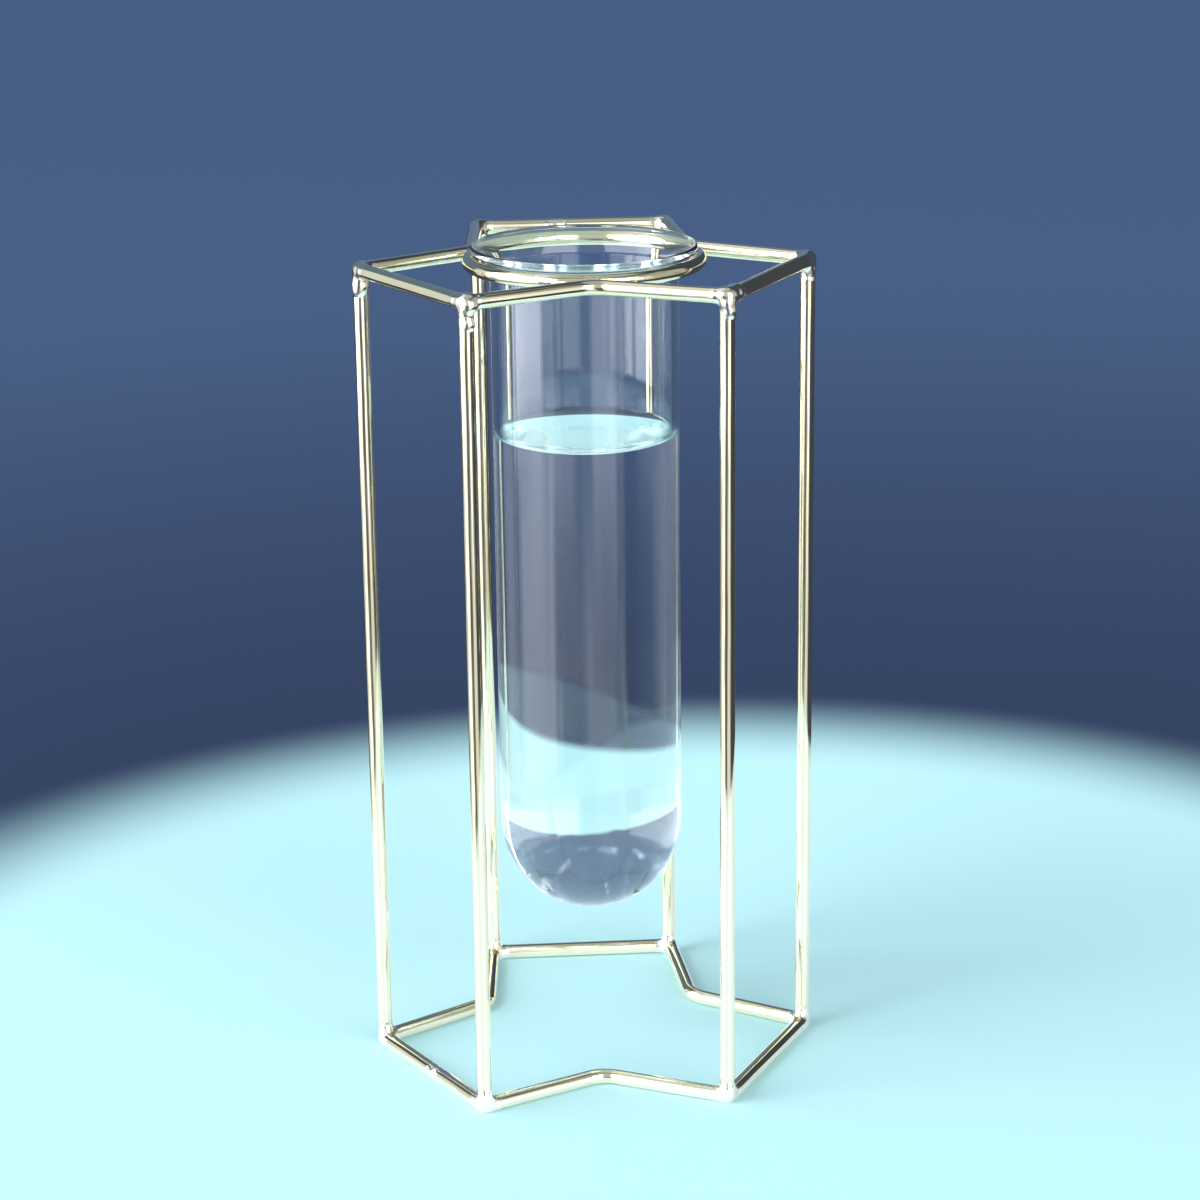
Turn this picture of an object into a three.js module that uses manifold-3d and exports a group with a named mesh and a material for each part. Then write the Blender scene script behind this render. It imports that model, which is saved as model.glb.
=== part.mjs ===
// Hydroponic vase: a round-bottomed glass tube with water, hung by its flared lip in a welded wire frame.
// Millimetres, +Z up. The origin is the middle of the footprint, on the table.
import * as THREE from 'three';
import { mergeVertices } from 'three/addons/utils/BufferGeometryUtils.js';
import Module from 'manifold-3d';

const wasm = await Module();
wasm.setup();

// Driving dimensions of the tube and its water
const TUBE_DIAMETER = 40;
const TUBE_LENGTH = 148.4;
const TUBE_WALL = 1.6;
const LIP_OVERHANG = 4; // the lip's outside beyond the tube's side, all round
const FLARE_RADIUS = 5; // outer surface of the flare under the lip
const WATER_HEADROOM = 41.3; // water surface below the top of the lip
const TABLE_CLEARANCE = 31.8; // under the tube's round bottom

// Driving dimensions of the wire frame
const WIRE_DIAMETER = 3.2;
const EDGE_REACH = 14.9; // the three outer edges stand this far outside the notches
const EDGE_LENGTH = 42.6; // between the two sharp corners of an outer edge, on the centreline
const CORNER_INSIDE = 1.4; // inside bend radius where the posts stand
const NOTCH_INSIDE = 5.4; // inside bend radius of the three notches
const POST_PROUD = 0.6; // how far a post stands outside the centreline of its bend
const RING_RAISE = 0.5; // ring centreline above the upper loop's centreline

// Clearances
const RING_PLAY = 2.6; // between the tube's side and the ring, all round
const GAP = 0.3; // between pieces that rest on each other or are welded together

// Driving dimensions of the weld metal
const WELD_HEIGHT = 2.8; // between a loop and the end of a post
const WELD_PROUD = 0.45; // beyond the post's side, where the bead bulges most
const WELD_NECK_PROUD = 0.15; // beyond the post's side, where the bead meets a loop
const WELD_RISE = 0.7; // how far the bead climbs round a loop
const WELD_BULGE_FROM = 0.55; // shares of the bead's height, from the loop
const WELD_BULGE_TO = 0.75;
const WELD_NECK_TO = 0.25;
const BUTT_LENGTH = 1.2; // along the wire, between its two ends
const BUTT_PROUD = 0.3; // beyond the wire's side
const TACK_LENGTH = 4.6; // along the crevice between the ring and a notch
const TACK_WIDTH = 2.4;
const TACK_HEIGHT = 2.2;
const UPPER_BUTT_SHIFT = 3.6; // from the middle of the back edge, to the left
const LOWER_BUTT_SHIFT = 1.7; // from the middle of the left front edge, to the front
const RING_BUTT_ANGLE = 247; // degrees round the tube axis

// Facets
const WIRE_SIDES = 12;
const BEND_STEPS = 5;
const RING_STEPS = 48;
const TUBE_SIDES = 40;
const ARC_STEPS = 10;
const LIP_STEPS = 6;
const BEAD_SIDES = 12;

// The lip lies on the ring, and the frame takes its width and height from there
const wireRadius = WIRE_DIAMETER / 2;
const tubeRadius = TUBE_DIAMETER / 2;
const boreRadius = tubeRadius - TUBE_WALL;
const lipRadius = TUBE_WALL / 2;
const ringRadius = tubeRadius + RING_PLAY + wireRadius;
const lipReach = tubeRadius + LIP_OVERHANG - lipRadius; // tube axis to the middle of the rounded lip
const flareReach = tubeRadius + FLARE_RADIUS; // tube axis to the middle of the flare's arc
const flareMiddleRadius = FLARE_RADIUS + lipRadius;
const flareEnd = Math.acos((flareReach - lipReach) / flareMiddleRadius);
const lipAboveFlare = flareMiddleRadius * Math.sin(flareEnd);
const lipSeat = Math.sqrt((wireRadius + lipRadius + GAP) ** 2 - (ringRadius - lipReach) ** 2);
const flareSeat = Math.sqrt((FLARE_RADIUS - wireRadius - GAP) ** 2 - (flareReach - ringRadius) ** 2);
const tubeTop = TABLE_CLEARANCE + TUBE_LENGTH;
const lipLevel = tubeTop - lipRadius;
const flareLevel = lipLevel - lipAboveFlare;
const ringLevel = Math.min(lipLevel - lipSeat, flareLevel + flareSeat);
const upperLevel = ringLevel - RING_RAISE;
const lowerLevel = wireRadius;
const notchReach = ringRadius + WIRE_DIAMETER + GAP; // tube axis to the wire's centreline in a notch
const edgeDistance = notchReach + EDGE_REACH;
const cornerBend = wireRadius + CORNER_INSIDE;
const notchBend = wireRadius + NOTCH_INSIDE;
const bottomCentre = new THREE.Vector2(0, TABLE_CLEARANCE + tubeRadius);

const BACK = Math.PI / 2;
const THIRD_OF_A_TURN = (2 * Math.PI) / 3;
const DEGREE = Math.PI / 180;
const MERGE_DISTANCE = 1e-4; // points nearer than this are one point
const SETTLING_ROUNDS = 20; // of the search for a notch's sharp corner

// Anticlockwise from the back: the posts at the two ends of each outer edge, and the notch after it
const SIDES = [
  { firstPost: 'back_right', secondPost: 'back_left', notch: 'back_left' },
  { firstPost: 'left', secondPost: 'front_left', notch: 'front' },
  { firstPost: 'front_right', secondPost: 'right', notch: 'back_right' },
];

const wirePlating = {
  color: 0xe6d9ae,
  roughness: 0.12,
  metalness: 1,
};
const weldPlating = {
  color: 0xe2cf9c,
  roughness: 0.22,
  metalness: 1,
};
const clearGlass = {
  color: 0xeaf6f3,
  roughness: 0.02,
  metalness: 0,
  transparent: true,
  opacity: 0.3,
};
const clearWater = {
  color: 0xcfeaf0,
  roughness: 0.02,
  metalness: 0,
  transparent: true,
  opacity: 0.45,
};

function piece(name, geometry, finish) {
  const mesh = new THREE.Mesh(geometry, new THREE.MeshStandardMaterial(finish));
  mesh.name = name;
  return mesh;
}

// A path whose cross-sections lie where it is told, so that bends get many and straights get one.
class WirePath extends THREE.Curve {
  constructor(stations) {
    super();
    this.stations = stations;
  }

  stationAt(share) {
    return this.stations[Math.round(share * (this.stations.length - 1))];
  }

  getPointAt(share, target = new THREE.Vector3()) {
    return target.copy(this.stationAt(share).point);
  }

  getTangentAt(share, target = new THREE.Vector3()) {
    return target.copy(this.stationAt(share).tangent);
  }
}

// A polygon that stands on a flat side, whose sides touch the circle of this radius.
function polygon(radius, sides) {
  const points = [];
  for (let side = 0; side < sides; side++) {
    const angle = ((side + 0.5) * 2 * Math.PI) / sides;
    const reach = radius / Math.cos(Math.PI / sides);
    points.push(new THREE.Vector2(reach * Math.cos(angle), reach * Math.sin(angle)));
  }
  return new THREE.Shape(points);
}

function wireAlong(path, radius = wireRadius) {
  return new THREE.ExtrudeGeometry(polygon(radius, WIRE_SIDES), {
    steps: path.stations.length - 1,
    extrudePath: path,
  });
}

function direction(angle) {
  return new THREE.Vector3(Math.cos(angle), Math.sin(angle), 0);
}

// Solids, for cutting
function solidOf(geometry) {
  const bare = new THREE.BufferGeometry();
  bare.setAttribute('position', geometry.getAttribute('position'));
  bare.setIndex(geometry.getIndex());
  const merged = mergeVertices(bare, MERGE_DISTANCE);
  return new wasm.Manifold(new wasm.Mesh({
    numProp: 3,
    vertProperties: merged.getAttribute('position').array,
    triVerts: new Uint32Array(merged.getIndex().array),
  }));
}

function geometryOf(solid) {
  const mesh = solid.getMesh();
  const geometry = new THREE.BufferGeometry();
  geometry.setAttribute('position', new THREE.BufferAttribute(mesh.vertProperties, mesh.numProp));
  geometry.setIndex(new THREE.BufferAttribute(mesh.triVerts, 1));
  geometry.computeVertexNormals();
  return geometry;
}

// The nine corners of a loop, three times the two corners of an outer edge and a notch
function outlineCorners() {
  const half = EDGE_LENGTH / 2;
  const edgeEnd = (angle, side) =>
    direction(angle).multiplyScalar(edgeDistance).addScaledVector(direction(angle + BACK), side * half);
  const from = edgeEnd(BACK, 1);
  const to = edgeEnd(BACK + THIRD_OF_A_TURN, -1);
  const notchAngle = BACK + THIRD_OF_A_TURN / 2;
  let notchDistance = notchReach;
  for (let round = 0; round < SETTLING_ROUNDS; round++) {
    const notch = direction(notchAngle).multiplyScalar(notchDistance);
    const arriving = notch.clone().sub(from);
    const leaving = to.clone().sub(notch);
    const halfTurn = arriving.angleTo(leaving) / 2;
    notchDistance = notchReach - notchBend * (1 / Math.cos(halfTurn) - 1);
  }
  return SIDES.flatMap(({ firstPost, secondPost }, third) => {
    const angle = BACK + third * THIRD_OF_A_TURN;
    const notch = direction(angle + THIRD_OF_A_TURN / 2).multiplyScalar(notchDistance);
    return [
      { point: edgeEnd(angle, -1), bend: cornerBend, post: firstPost },
      { point: edgeEnd(angle, 1), bend: cornerBend, post: secondPost },
      { point: notch, bend: notchBend },
    ];
  });
}

// Rounds a corner: the arc's stations, its middle point and the way its outside faces
function bendAt(before, corner, after) {
  const arriving = corner.point.clone().sub(before.point).normalize();
  const leaving = after.point.clone().sub(corner.point).normalize();
  const turn = arriving.angleTo(leaving);
  const left = Math.sign(arriving.x * leaving.y - arriving.y * leaving.x);
  const outward = arriving.clone().sub(leaving).normalize();
  const centre = corner.point.clone().addScaledVector(outward, -corner.bend / Math.cos(turn / 2));
  const up = new THREE.Vector3(0, 0, 1);
  const stations = [];
  for (let step = 0; step <= BEND_STEPS; step++) {
    const swing = left * turn * (step / BEND_STEPS - 0.5);
    const spoke = outward.clone().applyAxisAngle(up, swing);
    stations.push({
      point: centre.clone().addScaledVector(spoke, corner.bend),
      tangent: spoke.clone().applyAxisAngle(up, left * BACK),
    });
  }
  return { stations, outward, middle: centre.clone().addScaledVector(outward, corner.bend) };
}

const corners = outlineCorners();
const bends = corners.map((corner, index) => {
  const before = corners[(index + corners.length - 1) % corners.length];
  const after = corners[(index + 1) % corners.length];
  return bendAt(before, corner, after);
});

// One bent wire, from one side of its butt weld round to the other side
function loopPath(postBefore, shift) {
  const firstCorner = corners.findIndex((corner) => corner.post === postBefore);
  const start = corners[firstCorner].point;
  const end = corners[(firstCorner + 1) % corners.length].point;
  const along = end.clone().sub(start).normalize();
  const weld = start.clone().add(end).multiplyScalar(0.5).addScaledVector(along, shift);
  const halfSlot = BUTT_LENGTH / 2 + GAP;
  const stations = [{ point: weld.clone().addScaledVector(along, halfSlot), tangent: along }];
  for (let index = 1; index <= corners.length; index++) {
    stations.push(...bends[(firstCorner + index) % corners.length].stations);
  }
  stations.push({ point: weld.clone().addScaledVector(along, -halfSlot), tangent: along });
  return { path: new WirePath(stations), weld, along };
}

// Weld metal between the two ends of a wire, with its bulge ground flush where the wire rests
function buttWeld(name, weld, along, ground) {
  const half = BUTT_LENGTH / 2;
  const bulge = wireRadius + BUTT_PROUD;
  const profile = [
    new THREE.Vector2(0, -half),
    new THREE.Vector2(wireRadius, -half),
    new THREE.Vector2(bulge, 0),
    new THREE.Vector2(wireRadius, half),
    new THREE.Vector2(0, half),
  ];
  let geometry = new THREE.LatheGeometry(profile, BEAD_SIDES);
  if (ground) {
    const slab = new THREE.BoxGeometry(2 * bulge, 2 * BUTT_LENGTH, bulge);
    slab.translate(0, 0, -wireRadius - bulge / 2);
    geometry = geometryOf(solidOf(geometry).subtract(solidOf(slab)));
  }
  const bead = piece(name, geometry, weldPlating);
  bead.position.copy(weld);
  bead.rotation.z = Math.atan2(-along.x, along.y);
  return bead;
}

// Weld metal between a post and a loop, hollowed to sit round the loop's wire
function postWeld(name, spot, loopWire, level, towardsPost) {
  const neck = wireRadius + WELD_NECK_PROUD;
  const bulge = wireRadius + WELD_PROUD;
  const top = wireRadius + WELD_HEIGHT;
  const profile = [
    new THREE.Vector2(0, wireRadius - WELD_RISE),
    new THREE.Vector2(neck, wireRadius - WELD_RISE),
    new THREE.Vector2(neck, wireRadius + WELD_HEIGHT * WELD_NECK_TO),
    new THREE.Vector2(bulge, wireRadius + WELD_HEIGHT * WELD_BULGE_FROM),
    new THREE.Vector2(bulge, wireRadius + WELD_HEIGHT * WELD_BULGE_TO),
    new THREE.Vector2(wireRadius, top),
    new THREE.Vector2(0, top),
  ];
  const lathe = new THREE.LatheGeometry(profile, BEAD_SIDES);
  lathe.rotateX(towardsPost * BACK);
  lathe.translate(spot.x, spot.y, 0);
  const bead = piece(name, geometryOf(solidOf(lathe).subtract(loopWire)), weldPlating);
  bead.position.z = level;
  return bead;
}

// Weld metal in the crevice on top of the ring and the notch that it touches
function tackWeld(name, angle, ringWire, loopWire) {
  const crevice = (ringRadius + notchReach) / 2;
  const bead = new THREE.SphereGeometry(1, BEAD_SIDES, BEAD_SIDES / 2);
  bead.rotateX(BACK);
  bead.scale(TACK_WIDTH / 2, TACK_LENGTH / 2, TACK_HEIGHT / 2);
  bead.translate(crevice, 0, wireRadius);
  bead.rotateZ(angle);
  const cut = solidOf(bead).subtract(ringWire).subtract(loopWire);
  const tack = piece(name, geometryOf(cut), weldPlating);
  tack.position.z = upperLevel;
  return tack;
}

function ringPath() {
  const slot = (BUTT_LENGTH / 2 + GAP) / ringRadius;
  const start = RING_BUTT_ANGLE * DEGREE + slot;
  const sweep = 2 * Math.PI - 2 * slot;
  const stations = [];
  for (let step = 0; step <= RING_STEPS; step++) {
    const angle = start + (sweep * step) / RING_STEPS;
    stations.push({
      point: direction(angle).multiplyScalar(ringRadius),
      tangent: direction(angle + BACK),
    });
  }
  return new WirePath(stations);
}

function arc(points, centre, radius, from, to, steps) {
  for (let step = 0; step <= steps; step++) {
    const angle = from + ((to - from) * step) / steps;
    points.push(new THREE.Vector2(
      Math.max(0, centre.x + radius * Math.cos(angle)),
      centre.y + radius * Math.sin(angle),
    ));
  }
}

function tubeGeometry() {
  const profile = [];
  const flareCentre = new THREE.Vector2(flareReach, flareLevel);
  const lipCentre = new THREE.Vector2(lipReach, lipLevel);
  arc(profile, bottomCentre, tubeRadius, -BACK, 0, ARC_STEPS);
  arc(profile, flareCentre, FLARE_RADIUS, Math.PI, Math.PI - flareEnd, LIP_STEPS);
  arc(profile, lipCentre, lipRadius, -flareEnd, Math.PI - flareEnd, LIP_STEPS);
  arc(profile, flareCentre, FLARE_RADIUS + TUBE_WALL, Math.PI - flareEnd, Math.PI, LIP_STEPS);
  arc(profile, bottomCentre, boreRadius, 0, -BACK, ARC_STEPS);
  return new THREE.LatheGeometry(profile, TUBE_SIDES);
}

function waterGeometry() {
  const profile = [];
  const waterRadius = boreRadius - GAP;
  const surface = tubeTop - WATER_HEADROOM;
  arc(profile, bottomCentre, waterRadius, -BACK, 0, ARC_STEPS);
  profile.push(new THREE.Vector2(waterRadius, surface));
  profile.push(new THREE.Vector2(0, surface));
  return new THREE.LatheGeometry(profile, TUBE_SIDES);
}

// The wire frame
const UP_FROM_LATHE = BACK; // a lathe turns round Y, and this lays its axis along Z
const frame = new THREE.Group();

const upper = loopPath('back_right', UPPER_BUTT_SHIFT);
const lower = loopPath('left', LOWER_BUTT_SHIFT);
const upperLoop = piece('top_loop', wireAlong(upper.path), wirePlating);
const lowerLoop = piece('bottom_loop', wireAlong(lower.path), wirePlating);
upperLoop.position.z = upperLevel;
lowerLoop.position.z = lowerLevel;
frame.add(upperLoop, lowerLoop);

const upperButt = buttWeld('top_loop_butt_weld', upper.weld, upper.along, false);
const lowerButt = buttWeld('bottom_loop_butt_weld', lower.weld, lower.along, true);
upperButt.position.z = upperLevel;
lowerButt.position.z = lowerLevel;
frame.add(upperButt, lowerButt);

const ring = piece('tube_ring', wireAlong(ringPath()), wirePlating);
ring.position.z = ringLevel;
const ringWeldSpot = direction(RING_BUTT_ANGLE * DEGREE).multiplyScalar(ringRadius);
const ringWeldAlong = direction(RING_BUTT_ANGLE * DEGREE + BACK);
const ringButt = buttWeld('ring_butt_weld', ringWeldSpot, ringWeldAlong, false);
ringButt.position.z = ringLevel;
frame.add(ring, ringButt);

const upperClearance = solidOf(wireAlong(upper.path, wireRadius + GAP));
const lowerClearance = solidOf(wireAlong(lower.path, wireRadius + GAP));
const ringClearance = solidOf(wireAlong(ringPath(), wireRadius + GAP).translate(0, 0, RING_RAISE));

const postFoot = lowerLevel + wireRadius + WELD_HEIGHT + GAP;
const postHead = upperLevel - wireRadius - WELD_HEIGHT - GAP;
const postSpots = [];
corners.forEach(({ post: place }, index) => {
  if (!place) return;
  const { middle, outward } = bends[index];
  const spot = middle.clone().addScaledVector(outward, POST_PROUD);
  postSpots.push(spot);
  const reach = wireRadius / Math.cos(Math.PI / WIRE_SIDES);
  const bar = new THREE.CylinderGeometry(reach, reach, postHead - postFoot, WIRE_SIDES);
  const post = piece(`post_${place}`, bar, wirePlating);
  post.rotation.x = UP_FROM_LATHE;
  post.position.set(spot.x, spot.y, (postHead + postFoot) / 2);
  frame.add(post);
  frame.add(postWeld(`post_${place}_top_weld`, spot, upperClearance, upperLevel, -1));
  frame.add(postWeld(`post_${place}_foot_weld`, spot, lowerClearance, lowerLevel, 1));
});

SIDES.forEach(({ notch }, third) => {
  const angle = BACK + (third + 0.5) * THIRD_OF_A_TURN;
  frame.add(tackWeld(`ring_weld_${notch}`, angle, ringClearance, upperClearance));
});

// The glassware, which lifts out of the ring
const glassware = new THREE.Group();
const tube = piece('glass_tube', tubeGeometry(), clearGlass);
const water = piece('water', waterGeometry(), clearWater);
tube.rotation.x = UP_FROM_LATHE;
water.rotation.x = UP_FROM_LATHE;
glassware.add(tube, water);

// The tube axis lies a little in front of the middle of the footprint
const vase = new THREE.Group();
vase.add(frame, glassware);
const spotDepths = postSpots.map((spot) => spot.y);
vase.position.y = -(Math.max(...spotDepths) + Math.min(...spotDepths)) / 2;

export default vase;
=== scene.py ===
"""Looks of the hydroponic vase: polished pale gold wire, weld metal, a blown glass tube and its water."""
import math

import bmesh
import bpy
import numpy as np
from mathutils import Matrix, Vector, noise


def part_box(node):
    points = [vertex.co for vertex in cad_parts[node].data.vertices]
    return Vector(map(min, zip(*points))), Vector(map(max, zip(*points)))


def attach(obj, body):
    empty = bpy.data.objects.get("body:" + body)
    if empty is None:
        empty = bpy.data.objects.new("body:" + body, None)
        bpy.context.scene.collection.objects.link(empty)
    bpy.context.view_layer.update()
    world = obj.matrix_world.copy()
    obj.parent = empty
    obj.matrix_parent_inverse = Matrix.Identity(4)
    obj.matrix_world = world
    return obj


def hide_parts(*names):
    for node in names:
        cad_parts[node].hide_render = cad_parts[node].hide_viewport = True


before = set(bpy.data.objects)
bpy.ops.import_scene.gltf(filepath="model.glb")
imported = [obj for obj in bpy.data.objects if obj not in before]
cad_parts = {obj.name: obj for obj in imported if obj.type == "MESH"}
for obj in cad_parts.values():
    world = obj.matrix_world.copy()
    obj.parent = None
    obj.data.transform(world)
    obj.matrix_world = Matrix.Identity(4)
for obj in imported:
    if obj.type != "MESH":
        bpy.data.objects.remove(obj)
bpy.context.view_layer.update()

MM = 0.001
UP = Vector((0, 0, 1))
BACK = math.pi / 2
QUARTER_TURN = math.pi / 2
THIRD_OF_A_TURN = 2 * math.pi / 3

# Sizes that the frame gives
loop_low, loop_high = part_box("bottom_loop")
upper_low, upper_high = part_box("top_loop")
ring_low, ring_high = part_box("tube_ring")
tube_low, tube_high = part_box("glass_tube")
water_low, water_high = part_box("water")
wire_radius = (loop_high.z - loop_low.z) / 2
lower_level = (loop_high.z + loop_low.z) / 2
upper_level = (upper_high.z + upper_low.z) / 2
ring_level = (ring_high.z + ring_low.z) / 2
ring_radius = (ring_high.x - ring_low.x) / 2 - wire_radius
axis = Vector((0, (tube_low.y + tube_high.y) / 2, 0))
edge_distance = upper_high.y - wire_radius - axis.y
lip_outside = (tube_high.x - tube_low.x) / 2

# The frame's own driving sizes, as the wire was bent and the glass was blown
EDGE_LENGTH = 42.6 * MM
CORNER_BEND = 3 * MM
NOTCH_BEND = 7 * MM
WELD_GAP = 0.3 * MM
UPPER_BUTT_SHIFT = 3.6 * MM
LOWER_BUTT_SHIFT = 1.7 * MM
RING_BUTT_ANGLE = math.radians(247)
BUTT_SLOT = 1.8 * MM
TUBE_WALL = 1.6 * MM
LIP_OVERHANG = 4 * MM
FLARE_RADIUS = 5 * MM
notch_reach = ring_radius + 2 * wire_radius + WELD_GAP
tube_radius = lip_outside - LIP_OVERHANG
bore_radius = tube_radius - TUBE_WALL

# Each third of the stand: the posts at the two ends of its outer edge, and the notch after it
SIDES = [
    ("back_right", "back_left", "back_left"),
    ("left", "front_left", "front"),
    ("front_right", "right", "back_right"),
]

# Where each piece's own waves and ripples are taken from the noise
SEEDS = {
    "top_loop": 1.7,
    "bottom_loop": 3.9,
    "tube_ring": 5.1,
    "top_loop_butt_weld": 2.0,
    "bottom_loop_butt_weld": 5.0,
    "ring_butt_weld": 8.0,
}
SIDE_SEED = 10.0
POST_SEED = 4.0
NOTCH_SEED = 7.0
TOP_WELD_SEED = 3
FOOT_WELD_SEED = 4

# Camera
CAMERA_AZIMUTH = math.radians(-3.891)
CAMERA_ELEVATION = math.radians(17.035)
CAMERA_ROLL = math.radians(-0.671)
CAMERA_DISTANCE = 697.2 * MM
LOOK_AT = Vector((2.75, 1.92, 100.7)) * MM
LENS = 95.685
SENSOR_WIDTH = 36
NEAREST = 0.01
FURTHEST = 20


def make_camera():
    """The photograph's viewpoint. Azimuth is 0 in front and grows to the right."""
    data = bpy.data.cameras.new("camera")
    data.lens = LENS
    data.sensor_width = SENSOR_WIDTH
    data.clip_start = NEAREST
    data.clip_end = FURTHEST
    camera = bpy.data.objects.new("camera", data)
    bpy.context.scene.collection.objects.link(camera)
    towards = Vector((
        math.sin(CAMERA_AZIMUTH) * math.cos(CAMERA_ELEVATION),
        -math.cos(CAMERA_AZIMUTH) * math.cos(CAMERA_ELEVATION),
        math.sin(CAMERA_ELEVATION),
    ))
    turn = towards.to_track_quat("Z", "Y").to_matrix().to_4x4()
    roll = Matrix.Rotation(CAMERA_ROLL, 4, "Z")
    camera.matrix_world = Matrix.Translation(LOOK_AT + towards * CAMERA_DISTANCE) @ turn @ roll
    bpy.context.scene.camera = camera


# Node helpers
def node(tree, kind, inputs=None, **settings):
    """Adds a shader node. An input is a value, or another node's output to link."""
    made = tree.nodes.new(kind)
    for key, value in settings.items():
        setattr(made, key, value)
    for key, value in (inputs or {}).items():
        if isinstance(value, bpy.types.NodeSocket):
            tree.links.new(value, made.inputs[key])
        else:
            made.inputs[key].default_value = value
    return made


def math_node(tree, operation, *values, clamp=False):
    inputs = dict(enumerate(values))
    return node(tree, "ShaderNodeMath", inputs, operation=operation, use_clamp=clamp).outputs[0]


def smooth_step(tree, value, start, end, low=0.0, high=1.0):
    inputs = {"Value": value, "From Min": start, "From Max": end, "To Min": low, "To Max": high}
    return node(tree, "ShaderNodeMapRange", inputs, interpolation_type="SMOOTHSTEP").outputs["Result"]


def mix_colour(tree, factor, first, second, blend="MIX"):
    made = node(tree, "ShaderNodeMix", {"Factor": factor}, data_type="RGBA", blend_type=blend)
    for index, value in ((6, first), (7, second)):
        if isinstance(value, bpy.types.NodeSocket):
            tree.links.new(value, made.inputs[index])
        else:
            made.inputs[index].default_value = (*value, 1)
    return made.outputs[2]


def noise_node(tree, vector, scale, detail=2.0, roughness=0.5):
    inputs = {"Vector": vector, "Scale": scale, "Detail": detail, "Roughness": roughness}
    return node(tree, "ShaderNodeTexNoise", inputs).outputs["Fac"]


def bump(tree, height, depth, strength=1.0, normal=None):
    inputs = {"Strength": strength, "Distance": depth, "Height": height}
    if normal is not None:
        inputs["Normal"] = normal
    return node(tree, "ShaderNodeBump", inputs).outputs["Normal"]


def stretched(tree, vector, scale):
    return node(tree, "ShaderNodeMapping", {"Vector": vector, "Scale": scale}).outputs["Vector"]


def object_place(tree):
    return node(tree, "ShaderNodeTexCoord").outputs["Object"]


def point_value(tree, name):
    """What the mesh holds at each point under this name."""
    return node(tree, "ShaderNodeAttribute", attribute_name=name, attribute_type="GEOMETRY").outputs["Fac"]


def new_material(name):
    material = bpy.data.materials.new(name)
    material.use_nodes = True
    tree = material.node_tree
    return material, tree, tree.nodes["Principled BSDF"]


# Wire. The marks are stretched per millimetre, and the other scales of noise here and below are per metre
GOLD = (0.90, 0.835, 0.60)
GOLD_WARM = (0.88, 0.79, 0.52)
TONE_SCALE = 45.0
TONE_LIMITS = (0.35, 0.7)
SHINE_LIMITS = (0.3, 0.75)
WIRE_ROUGHNESS = (0.045, 0.10)
MARK_STRETCH = (0.035, 2.2, 1.0)
MARK_DEPTH = 0.04 * MM
DIMPLE_SCALE = 900.0
DIMPLE_DEPTH = 0.2 * MM
DIMPLE_STRENGTH = (0.008, 0.09)


def wire_material():
    """Polished plating: long drawing marks, small dimples and a faint change of tone."""
    material, tree, shader = new_material("polished_gold_wire")
    shader.inputs["Metallic"].default_value = 1.0
    along_wire = node(tree, "ShaderNodeUVMap", uv_map="UVMap").outputs["UV"]
    body = object_place(tree)
    marks = noise_node(tree, stretched(tree, along_wire, MARK_STRETCH), 1.0)
    dimples = noise_node(tree, body, DIMPLE_SCALE)
    patches = noise_node(tree, body, TONE_SCALE)
    tone = smooth_step(tree, patches, *TONE_LIMITS)
    tree.links.new(mix_colour(tree, tone, GOLD, GOLD_WARM), shader.inputs["Base Color"])
    rough = smooth_step(tree, patches, *SHINE_LIMITS, *WIRE_ROUGHNESS)
    tree.links.new(rough, shader.inputs["Roughness"])
    strength = smooth_step(tree, point_value(tree, "grain"), 0.0, 1.0, *DIMPLE_STRENGTH)
    drawn = bump(tree, marks, MARK_DEPTH)
    tree.links.new(bump(tree, dimples, DIMPLE_DEPTH, strength, drawn), shader.inputs["Normal"])
    return material


# Weld metal
WELD_PALE = (0.94, 0.90, 0.77)
GOLD_COPPER = (0.82, 0.58, 0.32)
WELD_TONE_SCALE = 260.0
WELD_TONE_LIMITS = (0.4, 0.7)
HEAT_LIMITS = (0.46, 0.8)
WELD_GRAIN_SCALE = 620.0
WELD_GRAIN_LIMITS = (0.3, 0.8)
WELD_ROUGHNESS = (0.12, 0.20)
WELD_GRAIN_DEPTH = 0.2 * MM
WELD_GRAIN_STRENGTH = 0.08


def weld_material():
    """Plated weld metal: rippled, paler and rougher than the wire, with a copper tone in the crevices."""
    material, tree, shader = new_material("plated_weld_metal")
    shader.inputs["Metallic"].default_value = 1.0
    body = object_place(tree)
    ripples = noise_node(tree, body, WELD_GRAIN_SCALE, detail=3.0)
    patches = noise_node(tree, body, WELD_TONE_SCALE)
    heated = math_node(tree, "MULTIPLY", point_value(tree, "crevice"), patches)
    tone = mix_colour(tree, smooth_step(tree, patches, *WELD_TONE_LIMITS), WELD_PALE, GOLD)
    colour = mix_colour(tree, smooth_step(tree, heated, *HEAT_LIMITS), tone, GOLD_COPPER)
    tree.links.new(colour, shader.inputs["Base Color"])
    rough = smooth_step(tree, ripples, *WELD_GRAIN_LIMITS, *WELD_ROUGHNESS)
    tree.links.new(rough, shader.inputs["Roughness"])
    tree.links.new(bump(tree, ripples, WELD_GRAIN_DEPTH, WELD_GRAIN_STRENGTH), shader.inputs["Normal"])
    return material


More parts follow.
